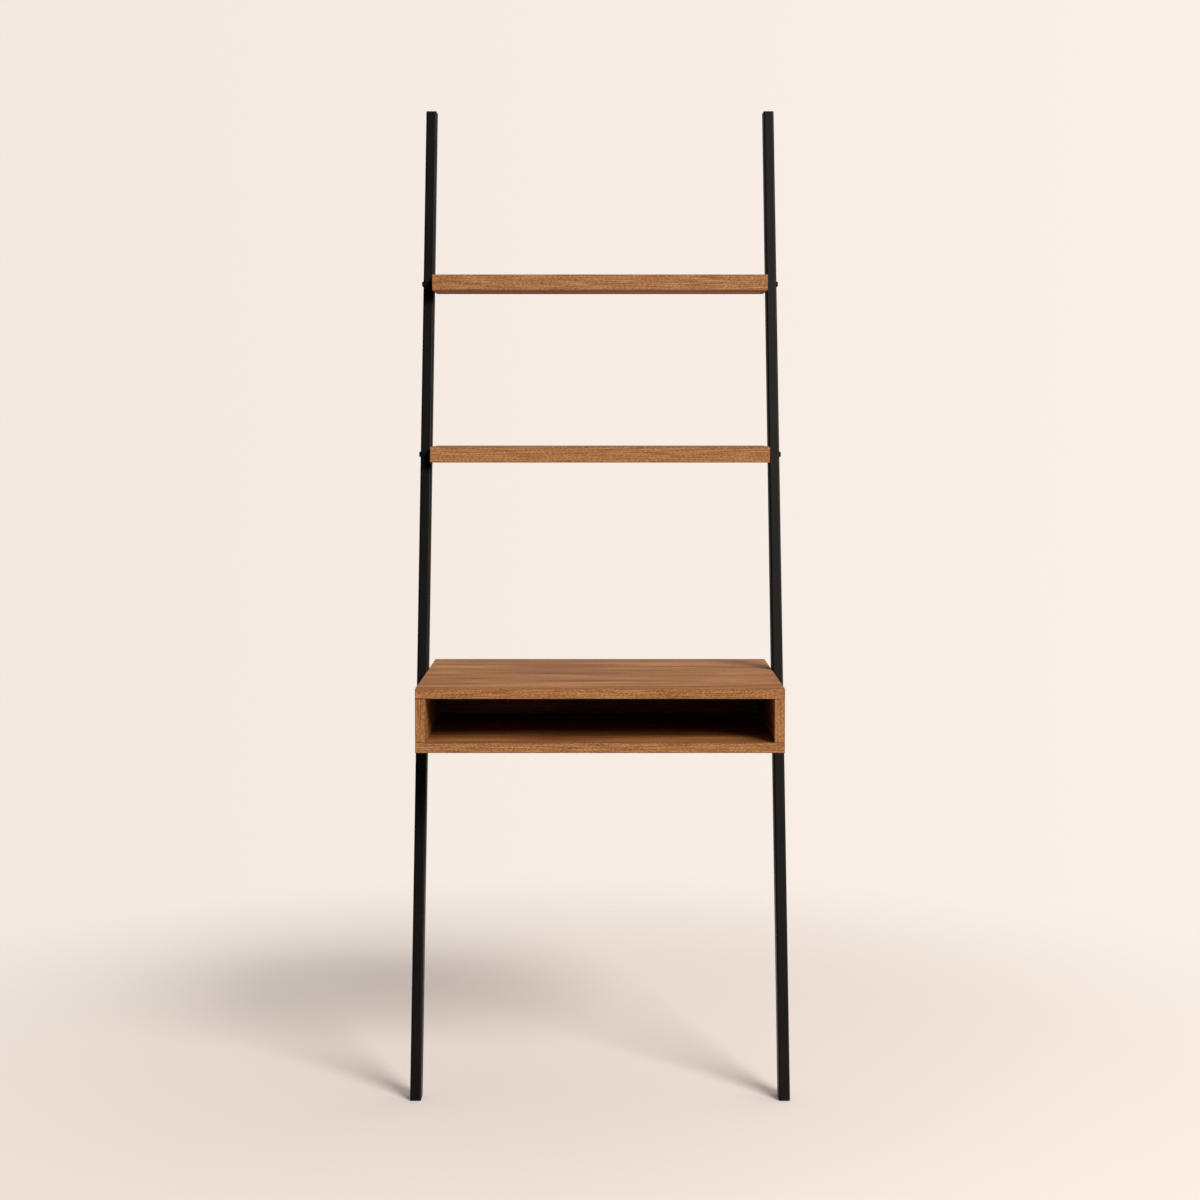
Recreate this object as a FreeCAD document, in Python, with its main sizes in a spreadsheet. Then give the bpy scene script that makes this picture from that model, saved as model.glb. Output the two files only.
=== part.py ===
import FreeCAD, Part
import os
import re
import Sketcher
from FreeCAD import Placement, Rotation, Vector

# Ladder desk: two steel tube rails lean back and carry two shelves and an open desk box.
# +Z is up, -Y is the front, and the origin lies level with the soles below the middle of the desk.

doc = FreeCAD.newDocument("ladder_desk")

# Driving dimensions in millimetres, angles in degrees
sizes = {
    # rails
    "lean_angle": 14.5,
    "rail_width": 20,
    "rail_depth": 40,
    "rail_wall": 1.5,
    "rail_corner_radius": 3,
    "rail_above_shelf": 327,
    # caps and feet of the rails
    "cap_thickness": 3,
    "cap_proud": 1,
    "foot_thickness": 4,
    "trim_edge_chamfer": 0.8,
    "plug_length": 24,
    "plug_clearance": 0.1,
    "rib_depth": 1.5,
    "rib_thickness": 1.6,
    # boards between the rails
    "board_length": 640,
    "board_edge_radius": 0.8,
    "shelf_thickness": 30,
    "top_shelf_depth": 130,
    "top_shelf_nose": 45,
    "middle_shelf_depth": 200,
    "middle_shelf_nose": 30,
    "shelf_bay": 297,
    "desk_bay": 384,
    # desk box
    "knee_clearance": 640,
    "panel_thickness": 18,
    "cubby_height": 76,
    "desk_reach": 92,
    "box_depth": 400,
    "desktop_overhang": 80,
    # bolts through the rails and their inserts
    "bolt_diameter": 6,
    "bolt_engagement": 10,
    "bolt_head_diameter": 10.5,
    "bolt_head_height": 3.3,
    "bolt_rim_height": 0.9,
    "bolt_crown_diameter": 6.4,
    "bolt_tip_chamfer": 0.8,
    "socket_width": 4,
    "socket_depth": 2,
    "bolt_hole_clearance": 0.6,
    "shelf_bolt_spacing": 20,
    "desk_bolt_spacing": 36,
    "insert_diameter": 10,
    "insert_spare": 2,
    "thread_clearance": 0.1,
    # blind holes in the boards
    "bore_clearance": 0.1,
    "bore_end_clearance": 0.5,
    # dowels of the desk box
    "dowel_diameter": 8,
    "dowel_in_face": 12,
    "dowel_in_edge": 13,
    "dowel_chamfer": 1,
    "dowel_end_margin": 40,
    "back_dowel_spacing": 40,
    # brackets behind the middle shelf and their screws
    "bracket_thickness": 2.5,
    "bracket_width": 30,
    "bracket_grip": 40,
    "bracket_height": 28,
    "bracket_bend_radius": 2,
    "bracket_corner_radius": 5,
    "bracket_spacing": 400,
    "wall_hole_diameter": 5.5,
    "screw_diameter": 4,
    "screw_head_diameter": 8,
    "screw_grip": 18,
    "screw_tip": 4,
    "screw_hole_clearance": 0.5,
    "screw_spacing": 18,
}

# Places worked out from the driving dimensions
places = {
    "lean_slope": "tan(lean_angle)",
    "rail_chord": "rail_depth / cos(lean_angle)",
    "cubby_floor": "knee_clearance + panel_thickness",
    "cubby_ceiling": "cubby_floor + cubby_height",
    "desk_height": "cubby_ceiling + panel_thickness",
    "middle_shelf_under": "desk_height + desk_bay",
    "middle_shelf_mid": "middle_shelf_under + shelf_thickness / 2",
    "top_shelf_under": "middle_shelf_under + shelf_thickness + shelf_bay",
    "top_shelf_mid": "top_shelf_under + shelf_thickness / 2",
    "overall_height": "top_shelf_under + shelf_thickness + rail_above_shelf",
    "cap_under": "overall_height - cap_thickness",
    "overall_depth": "desk_reach + cap_under * lean_slope + rail_chord + cap_proud",
    "wall_y": "overall_depth / 2",
    "desk_front": "-overall_depth / 2",
    "box_back": "desk_front + box_depth",
    "desk_back": "box_back + desktop_overhang",
    "rail_foot": "desk_front + desk_reach + rail_chord / 2",
    "rail_x": "board_length / 2 + rail_width / 2",
    "rail_outside": "board_length / 2 + rail_width",
    "top_bolt_y": "rail_foot + top_shelf_mid * lean_slope",
    "top_shelf_front": "top_bolt_y - rail_chord / 2 - top_shelf_nose",
    "top_shelf_back": "top_shelf_front + top_shelf_depth",
    "middle_bolt_y": "rail_foot + middle_shelf_mid * lean_slope",
    "middle_shelf_front": "middle_bolt_y - rail_chord / 2 - middle_shelf_nose",
    "middle_shelf_back": "middle_shelf_front + middle_shelf_depth",
    "desk_bolt_z": "cubby_floor + cubby_height / 2",
    "desk_bolt_y": "rail_foot + desk_bolt_z * lean_slope",
    "desk_bolt_rise": "desk_bolt_spacing / 2 * cos(lean_angle)",
    "desk_bolt_run": "desk_bolt_spacing / 2 * sin(lean_angle)",
    "rail_bolt_hole": "bolt_diameter + bolt_hole_clearance",
    "bolt_length": "rail_width + bolt_engagement",
    "insert_length": "bolt_engagement + insert_spare",
    "insert_bore": "insert_diameter + bore_clearance",
    "insert_bore_depth": "insert_length + bore_end_clearance",
    "dowel_length": "dowel_in_face + dowel_in_edge",
    "dowel_bore": "dowel_diameter + bore_clearance",
    "face_bore_depth": "dowel_in_face + bore_end_clearance",
    "edge_bore_depth": "dowel_in_edge + bore_end_clearance",
    "side_x": "board_length / 2 - panel_thickness / 2",
    "inner_side_x": "board_length / 2 - panel_thickness",
    "bracket_under": "middle_shelf_under - bracket_thickness",
    "bracket_front": "middle_shelf_back - bracket_grip",
    "screw_y": "middle_shelf_back - bracket_grip / 2",
    "screw_length": "bracket_thickness + screw_grip",
    "screw_hole": "screw_diameter + screw_hole_clearance",
}

sideways = Vector(1, 0, 0)
upwards = Vector(0, 0, 1)
tiny = 1e-6
plug_ribs = 3
hex_corners = 6

sheet = doc.addObject("Spreadsheet::Sheet", "Sizes")
for row, (name, value) in enumerate(sizes.items(), start=1):
    sheet.set(f"A{row}", name)
    sheet.set(f"B{row}", str(value))
    sheet.setAlias(f"B{row}", name)
doc.recompute()


def full(expression):
    # Plain names stand for a cell of Sizes or a value of Layout
    def owned(match):
        word = match.group(0)
        if word in sizes:
            return "Sizes." + word
        if word in places:
            return "Layout." + word
        return word

    return re.sub(r"[a-z_]+", owned, expression)


def bind(thing, prop, expression):
    thing.setExpression(prop, full(expression))


layout = doc.addObject("App::VarSet", "Layout")
for name, expression in places.items():
    layout.addProperty("App::PropertyFloat", name)
    bind(layout, name, expression)
doc.recompute()
lean = Vector(0, layout.lean_slope, 1).normalize()


def new_body(name):
    return doc.addObject("PartDesign::Body", name)


def new_sketch(body, plane, offset="0"):
    # Sketch on one of the body's own planes, moved along that plane's normal
    sketch = body.newObject("Sketcher::SketchObject", body.Name + "_sketch")
    support = [item for item in body.Origin.OriginFeatures if item.Role == plane][0]
    sketch.AttachmentSupport = [(support, "")]
    sketch.MapMode = "FlatFace"
    bind(sketch, "AttachmentOffset.Base.z", offset)
    return sketch


def worth(expression):
    return float(layout.evalExpression(full(expression)))


def tie(sketch, constraint, expression):
    index = sketch.addConstraint(constraint)
    sketch.setExpression(f"Constraints[{index}]", full(expression))


def tie_point(sketch, geometry, point, across, up):
    tie(sketch, Sketcher.Constraint("DistanceX", -1, 1, geometry, point, worth(across)), across)
    tie(sketch, Sketcher.Constraint("DistanceY", -1, 1, geometry, point, worth(up)), up)


def outline(sketch, corners):
    # Closed straight-sided outline; each corner is a pair of expressions
    points = [Vector(worth(across), worth(up), 0) for across, up in corners]
    first = sketch.GeometryCount
    for start, end in zip(points, points[1:] + points[:1]):
        sketch.addGeometry(Part.LineSegment(start, end), False)
    for number, (across, up) in enumerate(corners):
        following = first + (number + 1) % len(corners)
        sketch.addConstraint(Sketcher.Constraint("Coincident", first + number, 2, following, 1))
        tie_point(sketch, first + number, 1, across, up)


def rectangle(sketch, left, right, low, high):
    outline(sketch, [(left, low), (right, low), (right, high), (left, high)])


def circles(sketch, diameter, centres):
    for across, up in centres:
        round_hole = Part.Circle(Vector(worth(across), worth(up), 0), upwards, worth(diameter) / 2)
        geometry = sketch.addGeometry(round_hole, False)
        tie(sketch, Sketcher.Constraint("Diameter", geometry, worth(diameter)), diameter)
        tie_point(sketch, geometry, 3, across, up)


def finish(body, feature):
    body.Tip = feature
    doc.recompute()
    return feature


def pad(body, sketch, length):
    feature = body.newObject("PartDesign::Pad", body.Name + "_pad")
    feature.Profile = sketch
    feature.SideType = "Symmetric"
    bind(feature, "Length", length)
    return finish(body, feature)


def pocket(body, sketch, depth=None, along_normal=False, both_ways=False):
    # Pocket to one side or spread evenly both ways; with no depth it cuts through the whole body
    before = body.Shape.Volume
    feature = body.newObject("PartDesign::Pocket", body.Name + "_pocket")
    feature.Profile = sketch
    if depth is None or both_ways:
        feature.SideType = "Symmetric"
    if depth is None:
        feature.Type = "ThroughAll"
    else:
        feature.Reversed = along_normal
        bind(feature, "Length", depth)
    finish(body, feature)
    if body.Shape.Volume > before - tiny:
        raise RuntimeError(f"{feature.Name} cuts nothing")
    return feature


def mirror(body, feature):
    # Repeats a feature on the other side of the body's own YZ plane
    twin = body.newObject("PartDesign::Mirrored", body.Name + "_mirror")
    twin.Originals = [feature]
    plane = [item for item in body.Origin.OriginFeatures if item.Role == "YZ_Plane"][0]
    twin.MirrorPlane = (plane, [""])
    return finish(body, twin)


def turned(body, sketch):
    # Solid turned about the sketch's horizontal axis
    feature = body.newObject("PartDesign::Revolution", body.Name + "_turned")
    feature.Profile = sketch
    feature.ReferenceAxis = (sketch, ["H_Axis"])
    feature.Angle = 360
    return finish(body, feature)


def ease(body, kind, prop, size, chosen):
    # Fillet or chamfer on the edges that the test picks
    base = body.Tip
    names = [f"Edge{number}" for number, edge in enumerate(base.Shape.Edges, start=1) if chosen(edge)]
    feature = body.newObject("PartDesign::" + kind, body.Name + "_" + kind.lower())
    feature.Base = (base, names)
    bind(feature, prop, size)
    return finish(body, feature)


def fillet(body, radius, chosen):
    return ease(body, "Fillet", "Radius", radius, chosen)


def chamfer(body, size, chosen):
    return ease(body, "Chamfer", "Size", size, chosen)


def runs(edge, axis):
    return isinstance(edge.Curve, Part.Line) and edge.Curve.Direction.cross(axis).Length < tiny


def lies_at(edge, height):
    return all(abs(vertex.Point.z - height) < tiny for vertex in edge.Vertexes)


def rail_line(height):
    return f"rail_foot + ({height}) * lean_slope"


def leaning_band(low, high, depth):
    # Side view of a leaning bar between two levels; depth is square to the lean
    half = f"({depth}) / 2 / cos(lean_angle)"
    return [
        (f"{rail_line(low)} - {half}", low),
        (f"{rail_line(low)} + {half}", low),
        (f"{rail_line(high)} + {half}", high),
        (f"{rail_line(high)} - {half}", high),
    ]


def leaning_pad(body, low, high, depth, width):
    sketch = new_sketch(body, "YZ_Plane")
    outline(sketch, leaning_band(low, high, depth))
    return pad(body, sketch, width)


shelf_spots = {
    "top_shelf": [
        ("top_bolt_y - shelf_bolt_spacing / 2", "top_shelf_mid"),
        ("top_bolt_y + shelf_bolt_spacing / 2", "top_shelf_mid"),
    ],
    "middle_shelf": [
        ("middle_bolt_y - shelf_bolt_spacing / 2", "middle_shelf_mid"),
        ("middle_bolt_y + shelf_bolt_spacing / 2", "middle_shelf_mid"),
    ],
}
desk_spots = [
    ("desk_bolt_y - desk_bolt_run", "desk_bolt_z - desk_bolt_rise"),
    ("desk_bolt_y + desk_bolt_run", "desk_bolt_z + desk_bolt_rise"),
]
bolt_spots = {**shelf_spots, "desk": desk_spots}
all_bolt_spots = [spot for spots in bolt_spots.values() for spot in spots]


def make_rail(name, x):
    body = new_body(name)
    leaning_pad(body, "foot_thickness", "cap_under", "rail_depth", "rail_width")
    fillet(body, "rail_corner_radius", lambda edge: runs(edge, lean))
    outside = body.Shape.BoundBox.XMax
    bore = new_sketch(body, "YZ_Plane")
    outline(bore, leaning_band("foot_thickness", "cap_under", "rail_depth - 2 * rail_wall"))
    pocket(body, bore, "rail_width - 2 * rail_wall", both_ways=True)
    inner_half = outside - worth("rail_wall")
    fillet(
        body,
        "max(rail_corner_radius - rail_wall; rail_wall / 4)",
        lambda edge: runs(edge, lean) and abs(abs(edge.CenterOfMass.x) - inner_half) < tiny,
    )
    holes = new_sketch(body, "YZ_Plane")
    circles(holes, "rail_bolt_hole", all_bolt_spots)
    pocket(body, holes)
    bind(body, "Placement.Base.x", x)
    return body


def add_plug(body, low, high):
    # Core that follows the lean, with ribs that press on the tube's inner walls
    rib_inset = "2 * (rail_wall + plug_clearance)"
    core_inset = "2 * (rail_wall + plug_clearance + rib_depth)"
    leaning_pad(body, low, high, f"rail_depth - {core_inset}", f"rail_width - {core_inset}")
    ribs = new_sketch(body, "YZ_Plane")
    for number in range(1, plug_ribs + 1):
        middle = f"({low}) + (({high}) - ({low})) * {number} / {plug_ribs + 1}"
        rib_low = f"{middle} - rib_thickness / 2"
        rib_high = f"{middle} + rib_thickness / 2"
        outline(ribs, leaning_band(rib_low, rib_high, f"rail_depth - {rib_inset}"))
    pad(body, ribs, f"rail_width - {rib_inset}")


def make_cap(name, x):
    # Flush with the tube at the front; the desk leans on its upright back edge
    body = new_body(name)
    side_view = new_sketch(body, "YZ_Plane")
    outline(side_view, [
        (f"{rail_line('cap_under')} - rail_chord / 2", "cap_under"),
        ("wall_y", "cap_under"),
        ("wall_y", "overall_height"),
        (f"{rail_line('overall_height')} - rail_chord / 2", "overall_height"),
    ])
    pad(body, side_view, "rail_width")
    fillet(body, "rail_corner_radius", lambda edge: runs(edge, lean) or runs(edge, upwards))
    chamfer(body, "trim_edge_chamfer", lambda edge: lies_at(edge, layout.overall_height))
    add_plug(body, "cap_under - plug_length", "cap_under")
    bind(body, "Placement.Base.x", x)
    return body


def make_foot(name, x):
    body = new_body(name)
    leaning_pad(body, "0", "foot_thickness", "rail_depth", "rail_width")
    fillet(body, "rail_corner_radius", lambda edge: runs(edge, lean))
    chamfer(body, "trim_edge_chamfer", lambda edge: lies_at(edge, 0))
    add_plug(body, "foot_thickness", "foot_thickness + plug_length")
    bind(body, "Placement.Base.x", x)
    return body


def make_board(name, front, back, low, high, length):
    # Board with all its edges eased
    body = new_body(name)
    end_view = new_sketch(body, "YZ_Plane")
    rectangle(end_view, front, back, low, high)
    pad(body, end_view, length)
    fillet(body, "board_edge_radius", lambda edge: True)
    return body


def bore_both_ends(body, diameter, depth, length, spots):
    ends = new_sketch(body, "YZ_Plane", f"({length}) / 2")
    circles(ends, diameter, spots)
    mirror(body, pocket(body, ends, depth))


def make_shelf(name):
    low = f"{name}_under"
    high = f"{low} + shelf_thickness"
    body = make_board(name, f"{name}_front", f"{name}_back", low, high, "board_length")
    bore_both_ends(body, "insert_bore", "insert_bore_depth", "board_length", shelf_spots[name])
    return body


screw_spots = [
    (f"{side} * bracket_spacing / 2 + {along} * screw_spacing / 2", "screw_y")
    for side in (-1, 1)
    for along in (-1, 1)
]


def make_middle_shelf():
    body = make_shelf("middle_shelf")
    underside = new_sketch(body, "XY_Plane", "middle_shelf_under")
    circles(underside, "screw_diameter + bore_clearance", screw_spots)
    pocket(body, underside, "screw_grip + bore_end_clearance", along_normal=True)
    return body


joint_rows = [
    "desk_front + dowel_end_margin",
    "desk_front + box_depth / 2",
    "box_back - dowel_end_margin",
]
corner_spots = [(f"{side} * side_x", row) for side in (-1, 1) for row in joint_rows]
back_middle = "box_back - panel_thickness / 2"
back_spots = [(back_middle, f"desk_bolt_z + {step} * back_dowel_spacing / 2") for step in (-1, 1)]


def make_desk_top():
    low, high = "cubby_ceiling", "desk_height"
    body = make_board("desk_top", "desk_front", "desk_back", low, high, "board_length")
    underside = new_sketch(body, "XY_Plane", low)
    circles(underside, "dowel_bore", corner_spots)
    pocket(body, underside, "face_bore_depth", along_normal=True)
    return body


def make_desk_bottom():
    low, high = "knee_clearance", "cubby_floor"
    body = make_board("desk_bottom", "desk_front", "box_back", low, high, "board_length")
    upper_face = new_sketch(body, "XY_Plane", high)
    circles(upper_face, "dowel_bore", corner_spots)
    pocket(body, upper_face, "face_bore_depth")
    return body


def make_desk_side(name, side):
    # Inserts enter from the outer face, dowels from the two long edges and the inner face
    low, high = "cubby_floor", "cubby_ceiling"
    body = make_board(name, "desk_front", "box_back", low, high, "panel_thickness")
    edge_spots = [("0", row) for row in joint_rows]
    upper_edge = new_sketch(body, "XY_Plane", high)
    circles(upper_edge, "dowel_bore", edge_spots)
    pocket(body, upper_edge, "edge_bore_depth")
    lower_edge = new_sketch(body, "XY_Plane", low)
    circles(lower_edge, "dowel_bore", edge_spots)
    pocket(body, lower_edge, "edge_bore_depth", along_normal=True)
    outer_face = new_sketch(body, "YZ_Plane", f"{side} * panel_thickness / 2")
    circles(outer_face, "insert_bore", desk_spots)
    pocket(body, outer_face, "insert_bore_depth", along_normal=side < 0)
    inner_face = new_sketch(body, "YZ_Plane", f"{-side} * panel_thickness / 2")
    circles(inner_face, "dowel_bore", back_spots)
    pocket(body, inner_face, "face_bore_depth", along_normal=side > 0)
    bind(body, "Placement.Base.x", f"{side} * side_x")
    return body


def make_desk_back():
    length = "2 * inner_side_x"
    front = "box_back - panel_thickness"
    body = make_board("desk_back", front, "box_back", "cubby_floor", "cubby_ceiling", length)
    bore_both_ends(body, "dowel_bore", "edge_bore_depth", length, back_spots)
    return body


def make_bracket(name, x):
    # Folded steel angle: one leg under the shelf, the other upright behind it
    body = new_body(name)
    side_view = new_sketch(body, "YZ_Plane")
    leg_top = "bracket_under + bracket_height"
    outline(side_view, [
        ("bracket_front", "bracket_under"),
        ("wall_y", "bracket_under"),
        ("wall_y", leg_top),
        ("wall_y - bracket_thickness", leg_top),
        ("wall_y - bracket_thickness", "middle_shelf_under"),
        ("bracket_front", "middle_shelf_under"),
    ])
    pad(body, side_view, "bracket_width")
    inner_bend = Vector(0, layout.wall_y - worth("bracket_thickness"), layout.middle_shelf_under)
    outer_bend = Vector(0, layout.wall_y, layout.bracket_under)
    fillet(body, "bracket_bend_radius", lambda edge: (edge.CenterOfMass - inner_bend).Length < tiny)
    fillet(
        body,
        "bracket_bend_radius + bracket_thickness",
        lambda edge: (edge.CenterOfMass - outer_bend).Length < tiny,
    )
    leg_ends = (layout.bracket_front, worth(leg_top))
    backwards = Vector(0, 1, 0)
    fillet(
        body,
        "bracket_corner_radius",
        lambda edge: (runs(edge, upwards) and abs(edge.CenterOfMass.y - leg_ends[0]) < tiny)
        or (runs(edge, backwards) and abs(edge.CenterOfMass.z - leg_ends[1]) < tiny),
    )
    wall_hole = new_sketch(body, "XZ_Plane")
    circles(wall_hole, "wall_hole_diameter", [("0", "bracket_under + bracket_height / 2")])
    pocket(body, wall_hole)
    leg_holes = new_sketch(body, "XY_Plane")
    circles(leg_holes, "screw_hole", [(f"{along} * screw_spacing / 2", "screw_y") for along in (-1, 1)])
    pocket(body, leg_holes)
    chamfer(
        body,
        "(screw_head_diameter + bore_clearance - screw_hole) / 2",
        lambda edge: isinstance(edge.Curve, Part.Circle)
        and lies_at(edge, layout.bracket_under)
        and abs(edge.Curve.Radius - layout.screw_hole / 2) < tiny,
    )
    bind(body, "Placement.Base.x", x)
    return body


def make_bolt():
    # Low tapered head left of the bearing face, shank to the right of it
    body = new_body("bolt")
    profile = new_sketch(body, "XZ_Plane")
    outline(profile, [
        ("-bolt_head_height", "0"),
        ("bolt_length", "0"),
        ("bolt_length", "bolt_diameter / 2 - bolt_tip_chamfer"),
        ("bolt_length - bolt_tip_chamfer", "bolt_diameter / 2"),
        ("0", "bolt_diameter / 2"),
        ("0", "bolt_head_diameter / 2"),
        ("-bolt_rim_height", "bolt_head_diameter / 2"),
        ("-bolt_head_height", "bolt_crown_diameter / 2"),
    ])
    turned(body, profile)
    socket = new_sketch(body, "YZ_Plane", "-bolt_head_height")
    corner = f"socket_width / 2 / cos(180 / {hex_corners})"
    turns = [f"{number} * 360 / {hex_corners}" for number in range(hex_corners)]
    outline(socket, [(f"{corner} * cos({turn})", f"{corner} * sin({turn})") for turn in turns])
    pocket(body, socket, "socket_depth", along_normal=True)
    return body


def make_insert():
    # Threaded sleeve pressed into a board, mouth at the origin
    body = new_body("insert")
    profile = new_sketch(body, "XZ_Plane")
    thread = "bolt_diameter + thread_clearance"
    rectangle(profile, "0", "insert_length", f"({thread}) / 2", "insert_diameter / 2")
    turned(body, profile)
    return body


def make_dowel():
    body = new_body("dowel")
    profile = new_sketch(body, "XZ_Plane")
    outline(profile, [
        ("0", "0"),
        ("dowel_length", "0"),
        ("dowel_length", "dowel_diameter / 2 - dowel_chamfer"),
        ("dowel_length - dowel_chamfer", "dowel_diameter / 2"),
        ("dowel_chamfer", "dowel_diameter / 2"),
        ("0", "dowel_diameter / 2 - dowel_chamfer"),
    ])
    turned(body, profile)
    return body


def make_screw():
    # Countersunk wood screw, head face at the origin
    body = new_body("screw")
    profile = new_sketch(body, "XZ_Plane")
    outline(profile, [
        ("0", "0"),
        ("screw_length", "0"),
        ("screw_length - screw_tip", "screw_diameter / 2"),
        ("(screw_head_diameter - screw_diameter) / 2", "screw_diameter / 2"),
        ("0", "screw_head_diameter / 2"),
    ])
    turned(body, profile)
    return body


to_right = Rotation()
to_left = Rotation(upwards, 180)
to_top = Rotation(Vector(0, 1, 0), -90)


def make_group(name, piece, spots):
    # Copies of one small piece; each spot is x, y, z and the way its axis points
    copies = []
    for number, (x, y, z, turn) in enumerate(spots, start=1):
        copy = doc.addObject("App::Link", f"{name}_{number}")
        copy.LinkedObject = piece
        copy.Placement = Placement(Vector(), turn)
        bind(copy, "Placement.Base.x", x)
        bind(copy, "Placement.Base.y", y)
        bind(copy, "Placement.Base.z", z)
        copies.append(copy)
    group = doc.addObject("Part::Compound", name)
    group.Links = copies
    return group


def both_sides(x, spots):
    left = [(f"-{x}", y, z, to_right) for y, z in spots]
    right = [(x, y, z, to_left) for y, z in spots]
    return left + right


def upright(foot, spots):
    return [(x, y, foot, to_top) for x, y in spots]


nodes = []
for side_name, sign in (("left", "-"), ("right", "")):
    nodes.append(make_rail(f"{side_name}_rail", f"{sign}rail_x"))
    nodes.append(make_cap(f"{side_name}_top_cap", f"{sign}rail_x"))
    nodes.append(make_foot(f"{side_name}_foot", f"{sign}rail_x"))
    nodes.append(make_bracket(f"{side_name}_wall_bracket", f"{sign}bracket_spacing / 2"))

nodes.append(make_shelf("top_shelf"))
nodes.append(make_middle_shelf())
nodes.append(make_desk_top())
nodes.append(make_desk_bottom())
nodes.append(make_desk_side("desk_left_side", -1))
nodes.append(make_desk_side("desk_right_side", 1))
nodes.append(make_desk_back())

bolt = make_bolt()
insert = make_insert()
dowel = make_dowel()
screw = make_screw()
for board, spots in bolt_spots.items():
    nodes.append(make_group(f"{board}_bolts", bolt, both_sides("rail_outside", spots)))
    nodes.append(make_group(f"{board}_inserts", insert, both_sides("board_length / 2", spots)))

back_dowel_x = "(inner_side_x + dowel_in_face)"
top_dowels = upright("cubby_ceiling - dowel_in_edge", corner_spots)
bottom_dowels = upright("cubby_floor - dowel_in_face", corner_spots)
nodes.append(make_group("desk_top_dowels", dowel, top_dowels))
nodes.append(make_group("desk_bottom_dowels", dowel, bottom_dowels))
nodes.append(make_group("desk_back_dowels", dowel, both_sides(back_dowel_x, back_spots)))
nodes.append(make_group("wall_bracket_screws", screw, upright("bracket_under", screw_spots)))
doc.recompute()

for item in doc.Objects:
    if "Invalid" in item.State or "Error" in item.State:
        raise RuntimeError(f"{item.Label} failed: {item.State}")
for node in nodes:
    if node.Shape.isNull() or not node.Shape.isValid():
        raise RuntimeError(f"{node.Label} has no valid shape")

os.makedirs("parts", exist_ok=True)
for node in nodes:
    node.Shape.exportStep(f"parts/{node.Label}.step")
    print(node.Label, len(node.Shape.Solids), "solids", round(node.Shape.Volume), "mm3")
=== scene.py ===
import math
import bpy
import numpy as np
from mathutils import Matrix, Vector


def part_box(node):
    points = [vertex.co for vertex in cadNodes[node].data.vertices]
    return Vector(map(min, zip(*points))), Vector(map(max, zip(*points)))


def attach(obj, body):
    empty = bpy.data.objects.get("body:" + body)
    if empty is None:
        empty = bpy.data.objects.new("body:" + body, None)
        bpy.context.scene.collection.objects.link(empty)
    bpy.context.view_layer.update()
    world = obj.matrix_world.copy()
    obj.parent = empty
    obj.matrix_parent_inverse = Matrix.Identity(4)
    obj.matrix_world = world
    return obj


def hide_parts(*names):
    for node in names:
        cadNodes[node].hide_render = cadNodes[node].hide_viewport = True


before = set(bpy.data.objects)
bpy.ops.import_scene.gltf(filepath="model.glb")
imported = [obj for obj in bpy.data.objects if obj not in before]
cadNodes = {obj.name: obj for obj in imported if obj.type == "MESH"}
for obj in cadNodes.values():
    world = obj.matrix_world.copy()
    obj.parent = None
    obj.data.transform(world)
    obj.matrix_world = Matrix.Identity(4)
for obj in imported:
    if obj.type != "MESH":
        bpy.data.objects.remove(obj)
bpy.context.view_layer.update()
mm = 0.001
print("frame loaded:", len(cadNodes), "nodes")


# Helpers for colours, nodes and objects

def linear(hexCode):  # sRGB hex value to linear RGBA
    channels = [int(hexCode[start:start + 2], 16) / 255 for start in (1, 3, 5)]
    bright = [c / 12.92 if c <= 0.04045 else ((c + 0.055) / 1.055) ** 2.4 for c in channels]
    return bright + [1]


def setInputs(tree, node, inputs):  # links an input to another node's output, or sets a plain value on it
    for socket, value in inputs.items():
        if isinstance(value, bpy.types.NodeSocket):
            tree.links.new(value, node.inputs[socket])
        else:
            node.inputs[socket].default_value = value


def addNode(tree, kind, inputs, **settings):  # one node with its settings, values and links
    # Inputs go by name or number. Mix: 0 factor, 2 and 3 values, 4 and 5 vectors, 6 and 7 colours.
    # MapRange: 0 value, 1 and 2 the range it comes from, 3 and 4 the range it goes to.
    node = tree.nodes.new("ShaderNode" + kind)
    for name, value in settings.items():
        if name == "stops":  # colour ramp: position and hex colour of each stop
            while len(node.color_ramp.elements) < len(value):
                node.color_ramp.elements.new(1)
            for element, (position, hexCode) in zip(node.color_ramp.elements, value):
                element.position = position
                element.color = linear(hexCode)
        else:
            setattr(node, name, value)
    setInputs(tree, node, inputs)
    return node


def newMaterial(name):
    material = bpy.data.materials.new(name)
    material.use_nodes = True
    return material, material.node_tree, material.node_tree.nodes["Principled BSDF"]


def dress(nodeName, material):  # gives a CAD node a better material
    for slot in cadNodes[nodeName].material_slots:
        slot.material = material


def addObject(name, data):  # object at the origin that shows a mesh, a lamp or a camera
    thing = bpy.data.objects.new(name, data)
    bpy.context.scene.collection.objects.link(thing)
    return thing


noiseSpan = {"low": 0.3, "middle": 0.5, "high": 0.7}  # nearly all values of a noise lie from low to high


# Walnut veneer: sliced, sanded and satin lacquered, with edge bands of the same wood.
# The eye gets long soft streaks and flames on the broad faces, short flecks on the bands and a dull sheen.

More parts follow.
